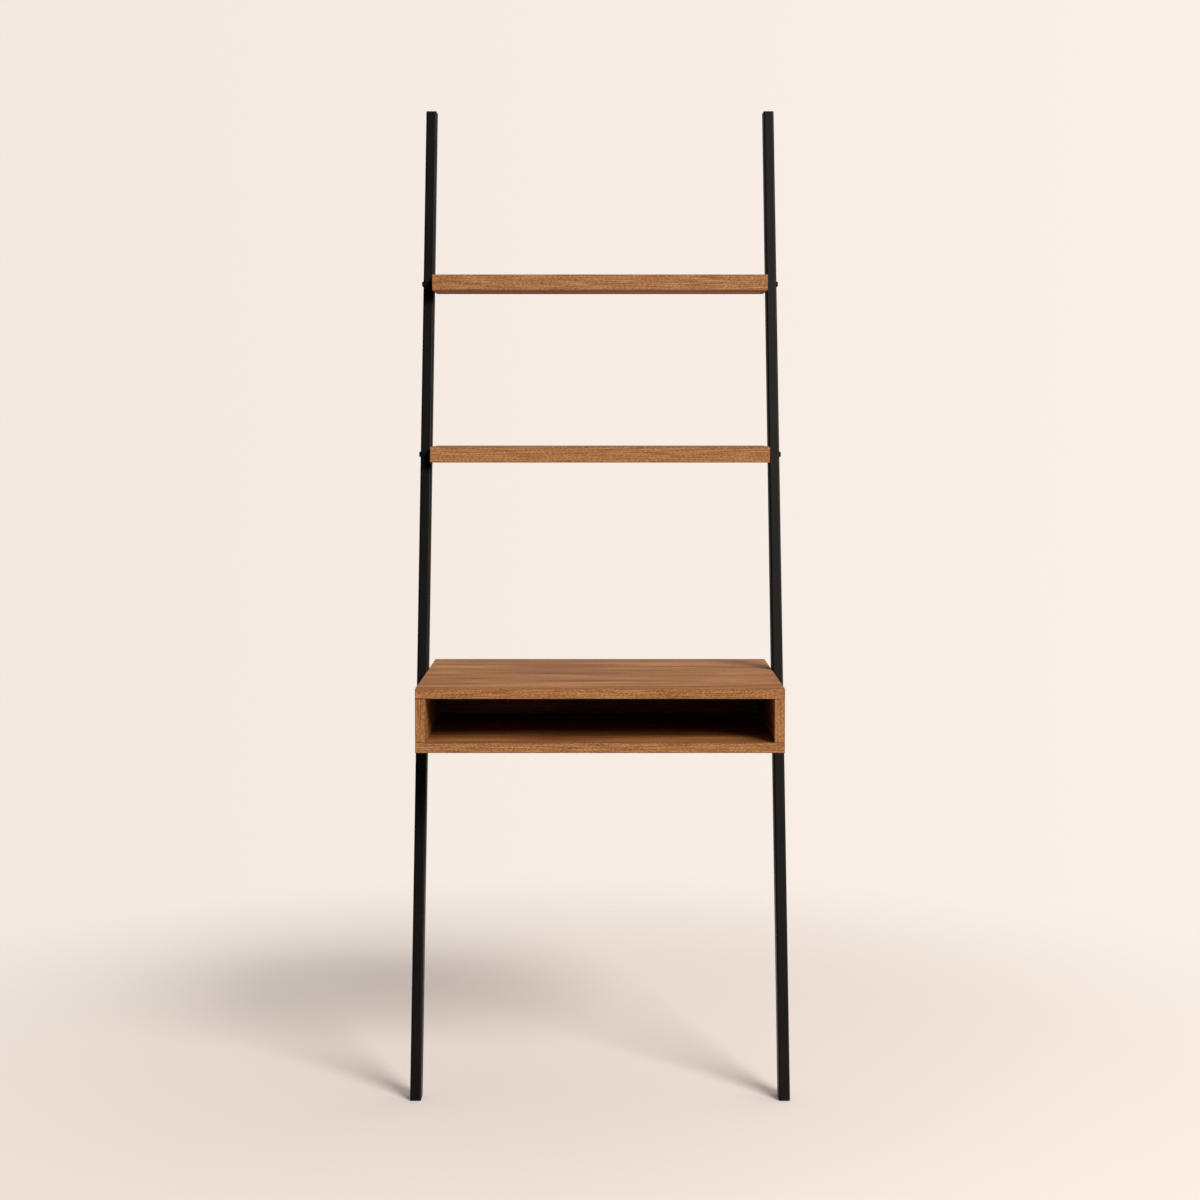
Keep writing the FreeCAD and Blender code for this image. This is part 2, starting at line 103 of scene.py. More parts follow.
veneer = {  # all sizes in millimetres
    "stops": [(0.15, "#6e431f"), (0.42, "#9a693e"), (0.58, "#ae7b4d"), (0.85, "#ca9c6d")],
    "poreColour": "#553219",
    "seamColour": "#5a3318",
    "layers": {  # length, width, detail, weight in the tone of broad faces and of bands
        "patch": (260, 120, 1.0, 0.20, 0.05),
        "streak": (280, 50, 2.0, 0.55, 0.08),
        "stripe": (260, 18, 2.0, 0.60, 0.12),
        "fibre": (70, 1.5, 2.5, 0.70, 0.95),
        "fleck": (4.5, 1.0, 2.0, 0.60, 1.30),  # coarser than real flecks, so that they show
    },
    "ringSpacing": 8,
    "ringTaper": 0.07,  # how fast the growth rings run out along the board
    "ringWave": (480, 150, 2.0),  # length, width and detail of their waves
    "ringWaveHeight": 36,
    "leanYears": (240, 30, 1.0),  # length, width and detail of runs of good and lean years
    "leanShift": 4,  # how many rings such a run shifts
    "ringWeight": 0.26,
    "ringOnBands": 0.4,  # share of it that shows on the bands
    "lateFrom": 0.3,  # share of a year after which its wood darkens
    "lateShare": 2 / 3,  # share of the weight that darkens late wood, the rest lightens early wood
    "pore": (6, 0.7, 0.0),  # length, width and detail, coarser than a real pore, so that it shows
    "poreFrom": 0.62,
    "poreTo": 0.74,
    "poreShare": 0.45,
    "latticeTurn": 0.6,  # radians by which the noise's own lattice is turned, so that no columns show
    "sliceShift": 40,  # how far a slice lies along the log for each unit of depth, so faces differ
    "faceFrom": 0.7,  # part of the normal along an axis from which a surface belongs to that face
    "roughness": (0.50, 0.64),
    "specular": 0.2,
    "bumpHeight": 0.12,
    "bumpStrength": 0.35,
    "seamWidth": 1.5,  # wider than a real glue line, so that it shows
    "seamShare": 0.75,
}
boardFaces = {"X": "YZX", "Y": "XZY", "Z": "XYZ"}  # face normal: axes along, across and through the grain
sideFaces = {"X": "YZX", "Y": "ZXY", "Z": "YXZ"}
boards = {  # faces, normal of the broad ones, place of the slice in the log, tone of broad faces and bands
    "top_shelf": (boardFaces, "Z", (0.3, 0.1, 0.0), 0.45, 0.54),
    "middle_shelf": (boardFaces, "Z", (4.1, 0.5, 0.0), 0.52, 0.56),
    "desk_top": (boardFaces, "Z", (8.4, 0.9, 0.0), 0.50, 0.48),
    # The desk's bottom and sides get darker broad tones than the other boards: painted shade for the
    # compartment they close in, which darkens their outer faces too
    "desk_bottom": (boardFaces, "Z", (12.2, 1.4, 0.0), 0.39, 0.49),
    "desk_left_side": (sideFaces, "X", (16.5, 1.8, 0.0), 0.44, 0.46),
    "desk_right_side": (sideFaces, "X", (20.7, 2.3, 0.0), 0.44, 0.52),
    "desk_back": (boardFaces, "Y", (24.4, 2.9, 0.0), 0.50, 0.50),
}


def findGrain(tree, fromCentre, faces, broadNormal):
    # A surface belongs to the face that its normal points along, and that face turns the axes to its grain.
    # Gives the places along, across and through the grain, and whether the face is a broad one.
    axes = addNode(tree, "SeparateXYZ", {0: fromCentre}).outputs
    normal = addNode(tree, "NewGeometry", {}).outputs["Normal"]
    square = addNode(tree, "VectorMath", {0: normal}, operation="ABSOLUTE").outputs[0]
    facing = addNode(tree, "SeparateXYZ", {0: square}).outputs
    chosen, placed = {}, {}
    for face, order in faces.items():
        limit = {0: facing[face], 1: veneer["faceFrom"]}
        chosen[face] = addNode(tree, "Math", limit, operation="GREATER_THAN").outputs[0]
        turned = {number: axes[axis] for number, axis in enumerate(order)}
        placed[face] = addNode(tree, "CombineXYZ", turned).outputs[0]
    onBoard = placed["X"]
    for face in ("Y", "Z"):
        pick = {0: chosen[face], 4: onBoard, 5: placed[face]}
        onBoard = addNode(tree, "Mix", pick, data_type="VECTOR").outputs[1]
    return addNode(tree, "SeparateXYZ", {0: onBoard}).outputs, chosen[broadNormal]


def figure(tree, grain, length, width, detail):  # noise drawn out along the grain, sizes in millimetres
    size = (1 / (length * mm), 1 / (width * mm), 1)
    turn = {0: grain, "Scale": size, "Rotation": (0, 0, veneer["latticeTurn"])}
    stretched = addNode(tree, "Mapping", turn).outputs[0]
    noise = {"Vector": stretched, "Scale": 1, "Detail": detail}
    return addNode(tree, "TexNoise", noise, noise_dimensions="2D").outputs[0]


def growthRings(tree, grain, along, across):
    # A year is the distance from a heart that runs out of the board, over the spacing of the rings. Its
    # fraction is the season, with lighter early wood and darker late wood.
    height = veneer["ringWaveHeight"] * mm
    wave = {0: figure(tree, grain, *veneer["ringWave"]), 1: 0, 2: 1, 3: -height / 2, 4: height / 2}
    wander = addNode(tree, "MapRange", wave, clamp=False).outputs[0]
    rise = {0: along, 1: veneer["ringTaper"], 2: wander}
    under = addNode(tree, "Math", rise, operation="MULTIPLY_ADD").outputs[0]
    heart = addNode(tree, "CombineXYZ", {0: across, 1: under}).outputs[0]
    radius = addNode(tree, "VectorMath", {0: heart}, operation="LENGTH").outputs[1]
    count = {0: radius, 1: veneer["ringSpacing"] * mm}
    years = addNode(tree, "Math", count, operation="DIVIDE").outputs[0]
    shifted = {0: figure(tree, grain, *veneer["leanYears"]), 1: veneer["leanShift"], 2: years}
    years = addNode(tree, "Math", shifted, operation="MULTIPLY_ADD").outputs[0]
    season = addNode(tree, "Math", {0: years}, operation="FRACT").outputs[0]
    lighter = veneer["ringWeight"] * (1 - veneer["lateShare"])
    darker = -veneer["ringWeight"] * veneer["lateShare"]
    late = {0: season, 1: veneer["lateFrom"], 2: 1, 3: lighter, 4: darker}
    return addNode(tree, "MapRange", late, interpolation_type="SMOOTHSTEP").outputs[0]


def edgeSeam(tree, fromCentre, half):  # dark line along each edge of the board, where a band meets a face
    outward = addNode(tree, "VectorMath", {0: fromCentre}, operation="ABSOLUTE").outputs[0]
    inset = addNode(tree, "VectorMath", {0: half, 1: outward}, operation="SUBTRACT").outputs[0]
    insetX, insetY, insetZ = addNode(tree, "SeparateXYZ", {0: inset}).outputs
    # An edge is as far away as the second nearest face
    nearer = addNode(tree, "Math", {0: insetX, 1: insetY}, operation="MINIMUM").outputs[0]
    farther = addNode(tree, "Math", {0: insetX, 1: insetY}, operation="MAXIMUM").outputs[0]
    other = addNode(tree, "Math", {0: farther, 1: insetZ}, operation="MINIMUM").outputs[0]
    toEdge = addNode(tree, "Math", {0: nearer, 1: other}, operation="MAXIMUM").outputs[0]
    line = {0: toEdge, 1: veneer["seamWidth"] * mm, 2: 0, 3: 0, 4: veneer["seamShare"]}
    return addNode(tree, "MapRange", line).outputs[0]


def makeVeneer(nodeName, faces, broadNormal, logPlace, broadTone, bandTone):
    material, tree, shader = newMaterial("walnutVeneer_" + nodeName)
    low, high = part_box(nodeName)
    place = addNode(tree, "TexCoord", {}).outputs["Object"]
    moved = {0: place, 1: (low + high) / 2}
    fromCentre = addNode(tree, "VectorMath", moved, operation="SUBTRACT").outputs[0]
    (along, across, depth), broad = findGrain(tree, fromCentre, faces, broadNormal)
    sliced = {0: depth, 1: veneer["sliceShift"], 2: along}
    onSlice = addNode(tree, "Math", sliced, operation="MULTIPLY_ADD").outputs[0]
    flat = addNode(tree, "CombineXYZ", {0: onSlice, 1: across}).outputs[0]
    grain = addNode(tree, "VectorMath", {0: flat, 1: logPlace}, operation="ADD").outputs[0]

    tone = addNode(tree, "Mix", {0: broad, 2: bandTone, 3: broadTone}).outputs[0]
    drawn = {}
    for layer, (length, width, detail, onBroad, onBand) in veneer["layers"].items():
        drawn[layer] = figure(tree, grain, length, width, detail)
        aboutZero = {0: drawn[layer], 1: noiseSpan["middle"]}
        swing = addNode(tree, "Math", aboutZero, operation="SUBTRACT").outputs[0]
        weight = addNode(tree, "Mix", {0: broad, 2: onBand, 3: onBroad}).outputs[0]
        weighed = {0: swing, 1: weight, 2: tone}
        tone = addNode(tree, "Math", weighed, operation="MULTIPLY_ADD").outputs[0]
    share = addNode(tree, "Mix", {0: broad, 2: veneer["ringOnBands"], 3: 1}).outputs[0]
    clear = addNode(tree, "Math", {0: drawn["stripe"], 1: share}, operation="MULTIPLY").outputs[0]
    ringed = {0: growthRings(tree, grain, along, across), 1: clear, 2: tone}
    tone = addNode(tree, "Math", ringed, operation="MULTIPLY_ADD").outputs[0]
    wood = addNode(tree, "ValToRGB", {0: tone}, stops=veneer["stops"]).outputs[0]

    poreRange = {0: figure(tree, grain, *veneer["pore"]), 1: veneer["poreFrom"], 2: veneer["poreTo"]}
    pores = addNode(tree, "MapRange", poreRange).outputs[0]
    poreShare = addNode(tree, "Math", {0: pores, 1: veneer["poreShare"]}, operation="MULTIPLY").outputs[0]
    poreMix = {0: poreShare, 6: wood, 7: linear(veneer["poreColour"])}
    wood = addNode(tree, "Mix", poreMix, data_type="RGBA").outputs[2]
    seam = edgeSeam(tree, fromCentre, (high - low) / 2)
    seamMix = {0: seam, 6: wood, 7: linear(veneer["seamColour"])}
    wood = addNode(tree, "Mix", seamMix, data_type="RGBA").outputs[2]

    dull, dullest = veneer["roughness"]
    sheen = {0: drawn["fibre"], 1: noiseSpan["low"], 2: noiseSpan["high"], 3: dull, 4: dullest}
    roughness = addNode(tree, "MapRange", sheen).outputs[0]
    relief = addNode(tree, "Math", {0: drawn["fibre"], 1: pores}, operation="SUBTRACT").outputs[0]
    raised = {"Height": relief, "Strength": veneer["bumpStrength"], "Distance": veneer["bumpHeight"] * mm}
    bumped = addNode(tree, "Bump", raised).outputs[0]
    setInputs(tree, shader, {"Base Color": wood, "Roughness": roughness, "Normal": bumped})
    setInputs(tree, shader, {"Specular IOR Level": veneer["specular"]})
    return material


for nodeName, board in boards.items():
    dress(nodeName, makeVeneer(nodeName, *board))
print("veneer laid on", len(boards), "boards")


# Coats and metals: fine pebbles in the skin and slow clouds in its tone and gloss

skin = {"pebbleDetail": 2, "cloudDetail": 3, "bumpStrength": 0.5}  # the same on every coat


def makeCoat(name, coat, metallic=0):
    material, tree, shader = newMaterial(name)
    place = addNode(tree, "TexCoord", {}).outputs["Object"]
    pebble = {"Vector": place, "Scale": 1 / (coat["pebble"] * mm), "Detail": skin["pebbleDetail"]}
    pebbles = addNode(tree, "TexNoise", pebble).outputs[0]
    cloud = {"Vector": place, "Scale": 1 / (coat["cloud"] * mm), "Detail": skin["cloudDetail"]}
    clouds = addNode(tree, "TexNoise", cloud).outputs[0]
    tint = {0: clouds, 6: linear(coat["colour"]), 7: linear(coat["pale"])}
    colour = addNode(tree, "Mix", tint, data_type="RGBA").outputs[2]
    dull, dullest = coat["roughness"]
    sheen = {0: clouds, 1: noiseSpan["low"], 2: noiseSpan["high"], 3: dull, 4: dullest}
    roughness = addNode(tree, "MapRange", sheen).outputs[0]
    raised = {"Height": pebbles, "Strength": skin["bumpStrength"], "Distance": coat["height"] * mm}
    bumped = addNode(tree, "Bump", raised).outputs[0]
    setInputs(tree, shader, {"Base Color": colour, "Roughness": roughness, "Normal": bumped})
    setInputs(tree, shader, {"Metallic": metallic, "Specular IOR Level": coat["specular"]})
    return material


# Powder-coated steel: sprayed and baked, so a low satin gloss with a fine pebbled skin
powder = {
    "colour": "#060606",
    "pale": "#0b0b0b",
    "pebble": 1.6,  # millimetres, as are cloud and height
    "cloud": 70,
    "roughness": (0.42, 0.52),
    "specular": 0.17,
    "height": 0.1,
}
powderCoat = makeCoat("blackPowderCoat", powder)
for nodeName in ("left_rail", "right_rail", "left_wall_bracket", "right_wall_bracket"):
    dress(nodeName, powderCoat)

# Polypropylene: moulded in a spark-eroded tool, so matt and finely grained
moulded = {
    "colour": "#080808",
    "pale": "#0f0f0f",
    "pebble": 0.9,
    "cloud": 25,
    "roughness": (0.58, 0.7),
    "specular": 0.2,
    "height": 0.06,
}
polypropylene = makeCoat("blackPolypropylene", moulded)
for nodeName in ("left_top_cap", "right_top_cap", "left_foot", "right_foot"):
    dress(nodeName, polypropylene)
print("steel and plastic coated")


# Fasteners: turned surfaces with their places read from the frame, all sizes in millimetres

creaseAngle = math.radians(32)  # edges sharper than this stay crisp
wayTurns = {  # turn of a piece from its own axis, which points right
    "right": np.diag([1, 1, 1]),
    "left": np.diag([-1, -1, 1]),
    "up": np.array([[0, 0, -1], [0, 1, 0], [1, 0, 0]]),
}


def roundTurn(sides):  # angles of points spread evenly round a circle
    return np.arange(sides) * 2 * np.pi / sides


def turnedPiece(name, stations, radii, origins, ways, sleeve=False):
    # Ring number i stands at stations[i] on the axis, and point j of it at radii[i, j] from the axis and
    # at the angle j / sides of a turn. A sleeve's last ring joins its first, other ends get one face.
    rings, sides = radii.shape
    angle = roundTurn(sides)
    axial = np.broadcast_to(np.asarray(stations)[:, None], radii.shape)
    local = np.stack([axial, radii * np.cos(angle), radii * np.sin(angle)], axis=-1).reshape(-1, 3)
    spun = np.stack([local @ wayTurns[way].T for way in ways])
    points = (np.asarray(origins)[:, None, :] + spun).reshape(-1, 3) * mm
    side = np.arange(sides)
    nextSide = np.roll(side, -1)
    ring = np.arange(rings if sleeve else rings - 1)[:, None] * sides  # number of each ring's first point
    nextRing = (ring + sides) % len(local)
    corners = [ring + side, ring + nextSide, nextRing + nextSide, nextRing + side]
    quads = np.stack(corners, axis=-1).reshape(-1, 4)
    starts = np.arange(len(ways))[:, None, None] * len(local)
    faces = (quads[None] + starts).reshape(-1, 4).tolist()
    if not sleeve:
        ends = np.stack([side[::-1], side + len(local) - sides])
        faces += (ends[None] + starts).reshape(-1, sides).tolist()
    mesh = bpy.data.meshes.new(name)
    mesh.from_pydata(points.tolist(), [], faces)
    mesh.shade_smooth()
    mesh.set_sharp_from_angle(angle=creaseAngle)
    return addObject(name, mesh)


def fasten(piece, nodeName, material):  # puts a new piece in the place of its CAD node
    piece.data.materials.append(material)
    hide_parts(nodeName)
    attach(piece, "root")


def flatRings(stations, radii, sides):  # plain rings as a table of one radius for each ring and side
    return np.asarray(stations), np.repeat(np.asarray(radii, dtype=float)[:, None], sides, axis=1)


def threadRadii(stations, sides, thread):  # crest where station / pitch - angle / turn is a whole number
    phase = stations[:, None] / thread["pitch"] - np.arange(sides) / sides
    return thread["diameter"] / 2 - thread["depth"] * 2 * np.abs(phase - np.round(phase))


def threadStations(start, end, thread):  # evenly spaced rings, a few to each turn
    first, last = start / thread["pitch"], end / thread["pitch"]
    steps = np.arange(math.ceil(first * thread["perTurn"]), math.floor(last * thread["perTurn"]) + 1)
    return steps * thread["pitch"] / thread["perTurn"]


def boltSpots(nodeName, radius):  # a row on each side, from the lowest front corner to the highest back one
    low, high = np.array(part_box(nodeName)) / mm
    front, back = low[1:] + radius, high[1:] - radius
    return low[0], high[0], [front, back]


def bothSides(outLeft, outRight, spots):  # places and ways of pieces that point inwards from both sides
    origins = [(outLeft, y, z) for y, z in spots] + [(outRight, y, z) for y, z in spots]
    return origins, ["right"] * len(spots) + ["left"] * len(spots)


# Black-oxide steel: the heads keep a dark oily metal gloss
oxide = {
    "colour": "#161617",
    "pale": "#242426",
    "pebble": 0.8,
    "cloud": 6,
    "roughness": (0.34, 0.46),
    "specular": 0.5,
    "height": 0.02,
}
blackOxide = makeCoat("blackOxideSteel", oxide, metallic=1)
bolt = {  # button-head bolt with a hexagon socket
    "sides": 24,
    "headRadius": 5.25,
    "headHeight": 3.3,
    "rimHeight": 0.9,
    "crownRadius": 3.2,
    "underBevel": 0.15,
    "socketWidth": 4,
    "socketDepth": 2,
    "socketBevel": 0.15,
    "domeRings": 8,
    "threadFrom": 8,
    "length": 30,
    "tipRadius": 2.2,
    "tipLength": 0.8,
}
boltThread = {"diameter": 6, "pitch": 1, "depth": 0.61, "perTurn": 6}


def boltShape():  # socket's bottom and flats, crown, quarter ellipse of the dome, rim, shank, thread, tip
    sides, top = bolt["sides"], -bolt["headHeight"]
    sixth = np.pi / 3  # hexagon: half its width over the cosine of the angle from a flat's middle
    hexagon = bolt["socketWidth"] / 2 / np.cos(np.mod(roundTurn(sides), sixth) - sixth / 2)
    socketAt = np.array([top + bolt["socketDepth"], top + bolt["socketBevel"], top])
    socket = hexagon + np.array([0, 0, bolt["socketBevel"]])[:, None]
    sweep = np.linspace(0, np.pi / 2, bolt["domeRings"])
    domeAt = -bolt["rimHeight"] + (top + bolt["rimHeight"]) * np.cos(sweep)
    dome = bolt["crownRadius"] + (bolt["headRadius"] - bolt["crownRadius"]) * np.sin(sweep)
    bevel, half = bolt["underBevel"], boltThread["diameter"] / 2
    neckAt = [-bevel, 0, 0, bolt["threadFrom"] - bolt["tipLength"]]
    neck = [bolt["headRadius"], bolt["headRadius"] - bevel, half, half]
    threadAt = threadStations(bolt["threadFrom"], bolt["length"] - bolt["tipLength"], boltThread)
    plainAt, plain = flatRings([*domeAt, *neckAt], [*dome, *neck], sides)
    tipAt, tip = flatRings([bolt["length"]], [bolt["tipRadius"]], sides)
    stations = np.concatenate([socketAt, plainAt, threadAt, tipAt])
    return stations, np.concatenate([socket, plain, threadRadii(threadAt, sides, boltThread), tip])


boltStations, boltRadii = boltShape()
for nodeName in ("top_shelf_bolts", "middle_shelf_bolts", "desk_bolts"):
    outLeft, outRight, spots = boltSpots(nodeName, bolt["headRadius"])
    seatLeft, seatRight = outLeft + bolt["headHeight"], outRight - bolt["headHeight"]
    origins, ways = bothSides(seatLeft, seatRight, spots)
    piece = turnedPiece(nodeName + "_turned", boltStations, boltRadii, origins, ways)
    fasten(piece, nodeName, blackOxide)

# Zinc-plated steel: pale grey metal with a faint crystalline mottle
zinc = {
    "colour": "#a9a8a2",
    "pale": "#c4c3bd",
    "pebble": 0.5,
    "cloud": 4,
    "roughness": (0.3, 0.42),
    "specular": 0.5,
    "height": 0.01,
}
zincPlate = makeCoat("zincPlatedSteel", zinc, metallic=1)
insert = {"sides": 24, "length": 12, "mouthBevel": 0.4, "threadGap": 0.05}
insertThread = {"diameter": 10, "pitch": 2.4, "depth": 0.8, "perTurn": 8}


def insertShape():  # coarse thread outside, then back through the bore along the bolt's own thread
    sides, bevel = insert["sides"], insert["mouthBevel"]
    outAt = threadStations(bevel, insert["length"] - bevel, insertThread)
    backAt = threadStations(bevel, insert["length"] - bevel, boltThread)[::-1]
    out = threadRadii(outAt, sides, insertThread)
    back = threadRadii(backAt, sides, boltThread) + insert["threadGap"]
    rim = insertThread["diameter"] / 2 - insertThread["depth"]
    bore = boltThread["diameter"] / 2 + insert["threadGap"]
    mouthAt, mouth = flatRings([0, 0], [bore, rim], sides)
    endAt, end = flatRings([insert["length"], insert["length"]], [rim, bore], sides)
    stations = np.concatenate([mouthAt, outAt, endAt, backAt])
    return stations, np.concatenate([mouth, out, end, back])


insertStations, insertRadii = insertShape()
for nodeName in ("top_shelf_inserts", "middle_shelf_inserts", "desk_inserts"):
    outLeft, outRight, spots = boltSpots(nodeName, insertThread["diameter"] / 2)
    origins, ways = bothSides(outLeft, outRight, spots)
    piece = turnedPiece(nodeName + "_turned", insertStations, insertRadii, origins, ways, sleeve=True)
    fasten(piece, nodeName, zincPlate)

screw = {  # countersunk wood screw with a cross recess
    "sides": 48,
    "headRadius": 4,
    "length": 20.5,
    "pairSpacing": 18,
    "wingLength": 2.3,
    "wingHalf": 0.55,
    "recessDepth": 1.9,
    "recessShare": 0.45,  # share of the cross that is left at its bottom
    "tipLength": 4,
    "tipRadius": 0.12,
    "tipGap": 0.45,  # from the end of the thread to the point
    "tipShare": 0.05,  # least share of the thread's radius near the point
}
screwThread = {"diameter": 4, "pitch": 1.8, "depth": 0.65, "perTurn": 8}


def screwShape():  # cross recess, flat head, cone, then a thread that narrows to the point
    sides, quarter = screw["sides"], np.pi / 2
    fromWing = np.mod(roundTurn(sides) + quarter / 2, quarter) - quarter / 2
    wingEnd = np.cos(fromWing) / screw["wingLength"]
    wingSide = np.abs(np.sin(fromWing)) / screw["wingHalf"]
    cross = 1 / np.maximum(wingEnd, wingSide)  # a ray stops at a wing's end or side, whichever is nearer
    neck = screw["headRadius"] - screwThread["diameter"] / 2
    threadAt = threadStations(neck, screw["length"] - screw["tipGap"], screwThread)
    narrowing = np.clip((screw["length"] - threadAt) / screw["tipLength"], screw["tipShare"], 1)
    thread = threadRadii(threadAt, sides, screwThread) * narrowing[:, None]
    headAt, head = flatRings([0], [screw["headRadius"]], sides)
    tipAt, tip = flatRings([screw["length"]], [screw["tipRadius"]], sides)
    stations = np.concatenate([[screw["recessDepth"], 0], headAt, threadAt, tipAt])
    return stations, np.concatenate([[cross * screw["recessShare"], cross], head, thread, tip])


low, high = np.array(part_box("wall_bracket_screws")) / mm
outer = high[0] - screw["headRadius"]
screwPlaces = [(x, (low[1] + high[1]) / 2, low[2]) for x in (-outer, -outer + screw["pairSpacing"])]
screwPlaces += [(-x, y, z) for x, y, z in screwPlaces]
piece = turnedPiece("wall_bracket_screws_turned", *screwShape(), screwPlaces, ["up"] * len(screwPlaces))
fasten(piece, "wall_bracket_screws", zincPlate)

# Beech: turned and left bare, pale and dry with fine flecks
beech = {
    "colour": "#c79d6c",
    "pale": "#dcb98a",
    "pebble": 1.2,
    "cloud": 9,
    "roughness": (0.6, 0.72),
    "specular": 0.3,
    "height": 0.05,
}
bareBeech = makeCoat("bareBeech", beech)
dowel = {  # fluted dowel
    "sides": 96,
    "radius": 4,
    "length": 25,
    "chamfer": 1,
    "endRings": 5,
    "flutes": 16,
    "fluteDepth": 0.25,
    "rows": 3,  # from front to back along each side of the desk box
}


def dowelShape():  # quarter-round ends and straight flutes, as deep as a squared raised cosine of the angle
    flute = (0.5 - 0.5 * np.cos(dowel["flutes"] * roundTurn(dowel["sides"]))) ** 2
    bend = np.linspace(np.pi / 2, 0, dowel["endRings"])
    endAt = dowel["chamfer"] * (1 - np.sin(bend))
    end = dowel["radius"] - dowel["chamfer"] * (1 - np.cos(bend))
    depth = np.linspace(0, dowel["fluteDepth"], dowel["endRings"])  # the flutes run out towards the ends
    stations = np.concatenate([endAt, dowel["length"] - endAt[::-1]])
    plain, cut = (np.concatenate([half, half[::-1]])[:, None] for half in (end, depth))
    return stations, plain - cut * flute


dowelStations, dowelRadii = dowelShape()
for nodeName in ("desk_top_dowels", "desk_bottom_dowels"):
    low, high = np.array(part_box(nodeName)) / mm
    columns = (low[0] + dowel["radius"], high[0] - dowel["radius"])
    rows = np.linspace(low[1] + dowel["radius"], high[1] - dowel["radius"], dowel["rows"])
    origins = [(x, y, low[2]) for x in columns for y in rows]
    piece = turnedPiece(nodeName + "_turned", dowelStations, dowelRadii, origins, ["up"] * len(origins))
    fasten(piece, nodeName, bareBeech)
outLeft, outRight, spots = boltSpots("desk_back_dowels", dowel["radius"])
origins, ways = bothSides(outLeft, outRight, spots)
piece = turnedPiece("desk_back_dowels_turned", dowelStations, dowelRadii, origins, ways)
fasten(piece, "desk_back_dowels", bareBeech)
print("fasteners turned")


# Stage: a pale round floor that fades into the backdrop, with one lamp

floorDisc = {  # metres
    "colour": "#e3e1e2",
    "roughness": 0.85,
    "lift": 0.04,  # glow that only the camera sees
    "radius": 1.9,
    "sides": 96,
    "fadeFrom": 0.55,
    "fadeTo": 1.85,
}


def makeFloor():  # disc: points evenly round a circle
    turn = roundTurn(floorDisc["sides"])
    rim = np.stack([np.cos(turn), np.sin(turn), np.zeros_like(turn)], axis=1) * floorDisc["radius"]
    mesh = bpy.data.meshes.new("floor")
    mesh.from_pydata(rim.tolist(), [], [list(range(len(rim)))])
    floor = addObject("floor", mesh)
    material, tree, shader = newMaterial("paintedFloor")
    place = addNode(tree, "TexCoord", {}).outputs["Object"]
    radius = addNode(tree, "VectorMath", {0: place}, operation="LENGTH").outputs[1]
    fade = {0: radius, 1: floorDisc["fadeFrom"], 2: floorDisc["fadeTo"]}
    faded = addNode(tree, "MapRange", fade, interpolation_type="SMOOTHSTEP").outputs[0]
    seen = addNode(tree, "LightPath", {}).outputs["Is Camera Ray"]
    lift = addNode(tree, "Math", {0: seen, 1: floorDisc["lift"]}, operation="MULTIPLY").outputs[0]
    paint = linear(floorDisc["colour"])
    setInputs(tree, shader, {"Base Color": paint, "Roughness": floorDisc["roughness"]})
    setInputs(tree, shader, {"Emission Color": paint, "Emission Strength": lift})
    unseen = addNode(tree, "Math", {0: faded, 1: seen}, operation="MULTIPLY").outputs[0]
    clear = addNode(tree, "BsdfTransparent", {}).outputs[0]
    mixed = addNode(tree, "MixShader", {0: unseen, 1: shader.outputs[0], 2: clear}).outputs[0]
    setInputs(tree, tree.nodes["Material Output"], {"Surface": mixed})
    mesh.materials.append(material)


backdrop = {  # a range is of a ray's direction, sideways, in depth or upwards, each from -1 to 1
    "left": "#f1e7df",
    "right": "#fbf1e9",
    "sideRange": (-0.3, 0.3),
    "ambientColour": "#f6e9dd",
    "ambientRange": (-0.4, 1),
    "ambientFront": 0.08,
    "ambientBack": 0.85,
    "ambientTop": 0.38,
    "ambientLeft": 0.3,  # share of that light from the left, and from the right
    "ambientRight": 1.7,
    "glossRange": (-0.3, 0.5),
    "glossFront": 0.05,
    "glossBack": 0.52,
    "glossHeightRange": (-0.4, 0.4),
    "glossLow": 0.1,  # share of it from below, and from above
    "glossHigh": 1.0,
}


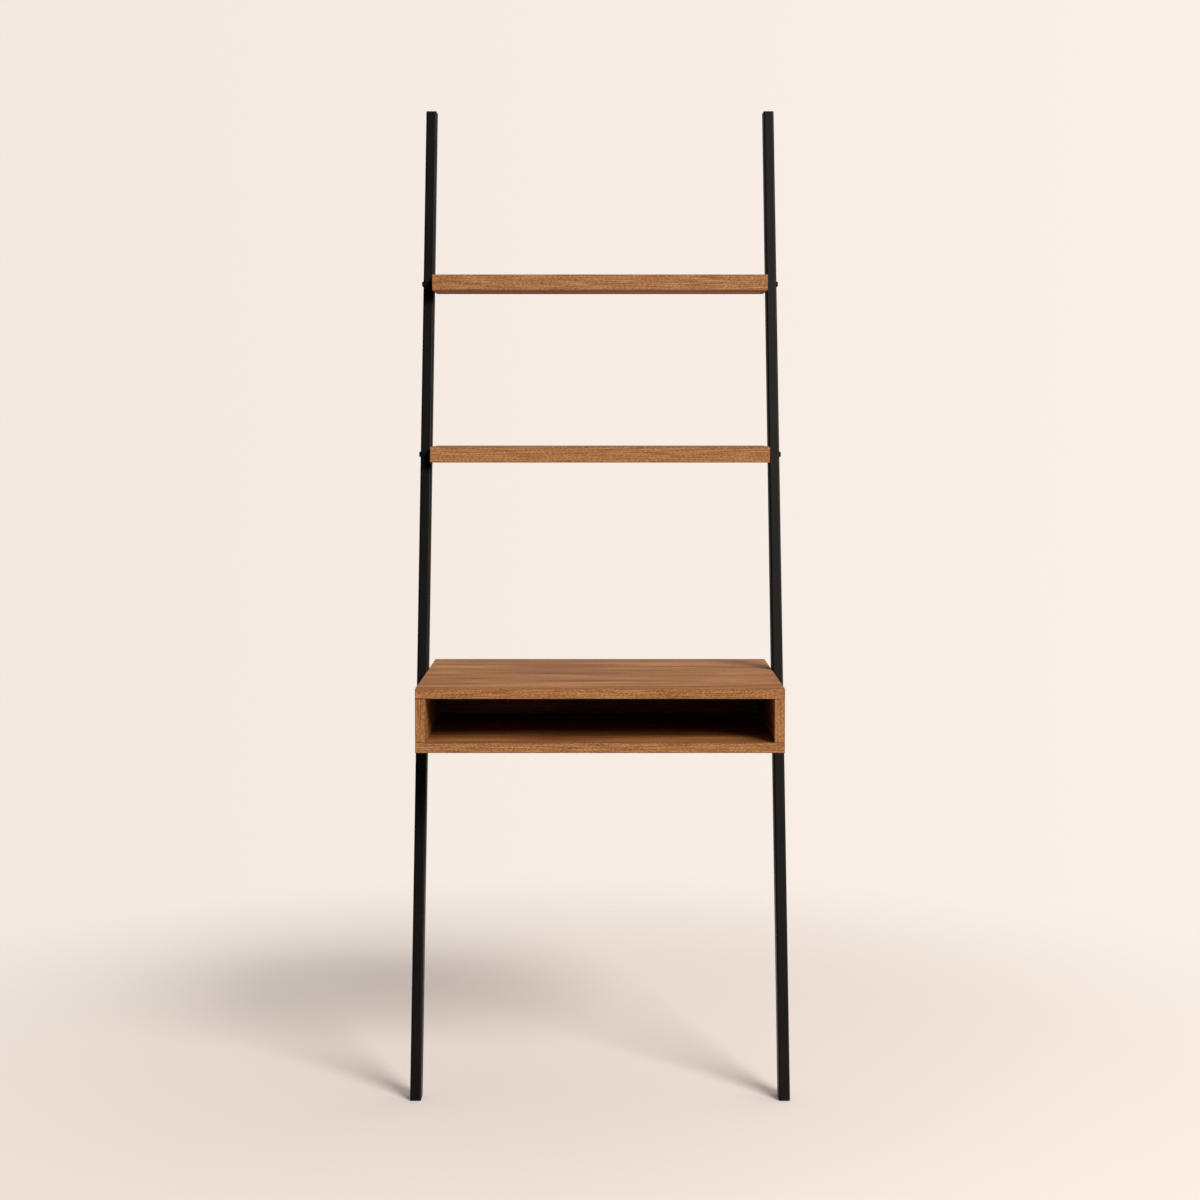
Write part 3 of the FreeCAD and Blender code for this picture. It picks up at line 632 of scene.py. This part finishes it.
def lightWorld():  # the backdrop as the camera sees it, and the softer light that it gives
    world = bpy.data.worlds.new("studio")
    world.use_nodes = True
    bpy.context.scene.world = world
    tree = world.node_tree
    rays = addNode(tree, "LightPath", {}).outputs
    direction = addNode(tree, "TexCoord", {}).outputs["Generated"]
    axes = addNode(tree, "SeparateXYZ", {0: direction}).outputs
    start, end = backdrop["sideRange"]
    sideways = addNode(tree, "MapRange", {0: axes["X"], 1: start, 2: end}).outputs[0]
    tint = {0: sideways, 6: linear(backdrop["left"]), 7: linear(backdrop["right"])}
    paper = addNode(tree, "Mix", tint, data_type="RGBA").outputs[2]
    seen = {0: rays["Is Camera Ray"], 1: rays["Is Transmission Ray"]}
    plain = addNode(tree, "Math", seen, operation="MAXIMUM").outputs[0]
    mirrored = {0: plain, 1: rays["Is Glossy Ray"]}
    shown = addNode(tree, "Math", mirrored, operation="MAXIMUM").outputs[0]
    warm = {0: shown, 6: linear(backdrop["ambientColour"]), 7: paper}
    colour = addNode(tree, "Mix", warm, data_type="RGBA").outputs[2]

    start, end = backdrop["ambientRange"]
    behind = {0: axes["Y"], 1: start, 2: end, 3: backdrop["ambientFront"], 4: backdrop["ambientBack"]}
    ambient = addNode(tree, "MapRange", behind).outputs[0]
    above = {0: axes["Z"], 1: 0, 2: 1, 3: 0, 4: backdrop["ambientTop"]}
    overhead = addNode(tree, "MapRange", above).outputs[0]
    ambient = addNode(tree, "Math", {0: ambient, 1: overhead}, operation="ADD").outputs[0]
    across = {0: axes["X"], 1: -1, 2: 1, 3: backdrop["ambientLeft"], 4: backdrop["ambientRight"]}
    share = addNode(tree, "MapRange", across).outputs[0]
    ambient = addNode(tree, "Math", {0: ambient, 1: share}, operation="MULTIPLY").outputs[0]

    start, end = backdrop["glossRange"]
    behind = {0: axes["Y"], 1: start, 2: end, 3: backdrop["glossFront"], 4: backdrop["glossBack"]}
    gloss = addNode(tree, "MapRange", behind).outputs[0]
    start, end = backdrop["glossHeightRange"]
    upwards = {0: axes["Z"], 1: start, 2: end, 3: backdrop["glossLow"], 4: backdrop["glossHigh"]}
    share = addNode(tree, "MapRange", upwards).outputs[0]
    gloss = addNode(tree, "Math", {0: gloss, 1: share}, operation="MULTIPLY").outputs[0]

    level = addNode(tree, "Mix", {0: rays["Is Glossy Ray"], 2: ambient, 3: gloss}).outputs[0]
    level = addNode(tree, "Mix", {0: plain, 2: level, 3: 1}).outputs[0]
    setInputs(tree, tree.nodes["Background"], {"Color": colour, "Strength": level})


key = {  # metres and watts
    "place": (4.5, -6.0, 5.6),
    "aim": (0.0, 0.0, 0.85),
    "size": 4.2,
    "power": 830,
    "colour": "#fff3e8",
}


def hangKey():  # one large soft lamp at the upper right, in front
    light = bpy.data.lights.new("key", "AREA")
    light.shape = "DISK"
    light.size = key["size"]
    light.energy = key["power"]
    light.color = linear(key["colour"])[:3]
    lamp = addObject("key", light)
    lamp.location = key["place"]
    aim = Vector(key["aim"]) - Vector(key["place"])
    lamp.rotation_euler = aim.to_track_quat("-Z", "Y").to_euler()


makeFloor()
lightWorld()
hangKey()
print("stage lit")


# Camera, worked out for a square frame of 1200 pixels

photoView = {
    "framePixels": 1200,
    "focalPixels": 2206.6,
    "sensorWidth": 36,  # millimetres
    "back": 4.0965,  # metres, as is height
    "height": 1.2124,
    "down": 3.0,  # degrees
    "shiftY": -0.052,  # share of the frame
}
lens = bpy.data.cameras.new("photoCamera")
lens.sensor_width = photoView["sensorWidth"]
lens.lens = photoView["sensorWidth"] * photoView["focalPixels"] / photoView["framePixels"]
lens.shift_y = photoView["shiftY"]
camera = addObject("photoCamera", lens)
camera.location = (0, -photoView["back"], photoView["height"])
camera.rotation_euler = (math.radians(90 - photoView["down"]), 0, 0)
bpy.context.scene.camera = camera
bpy.context.scene.view_settings.view_transform = "Standard"
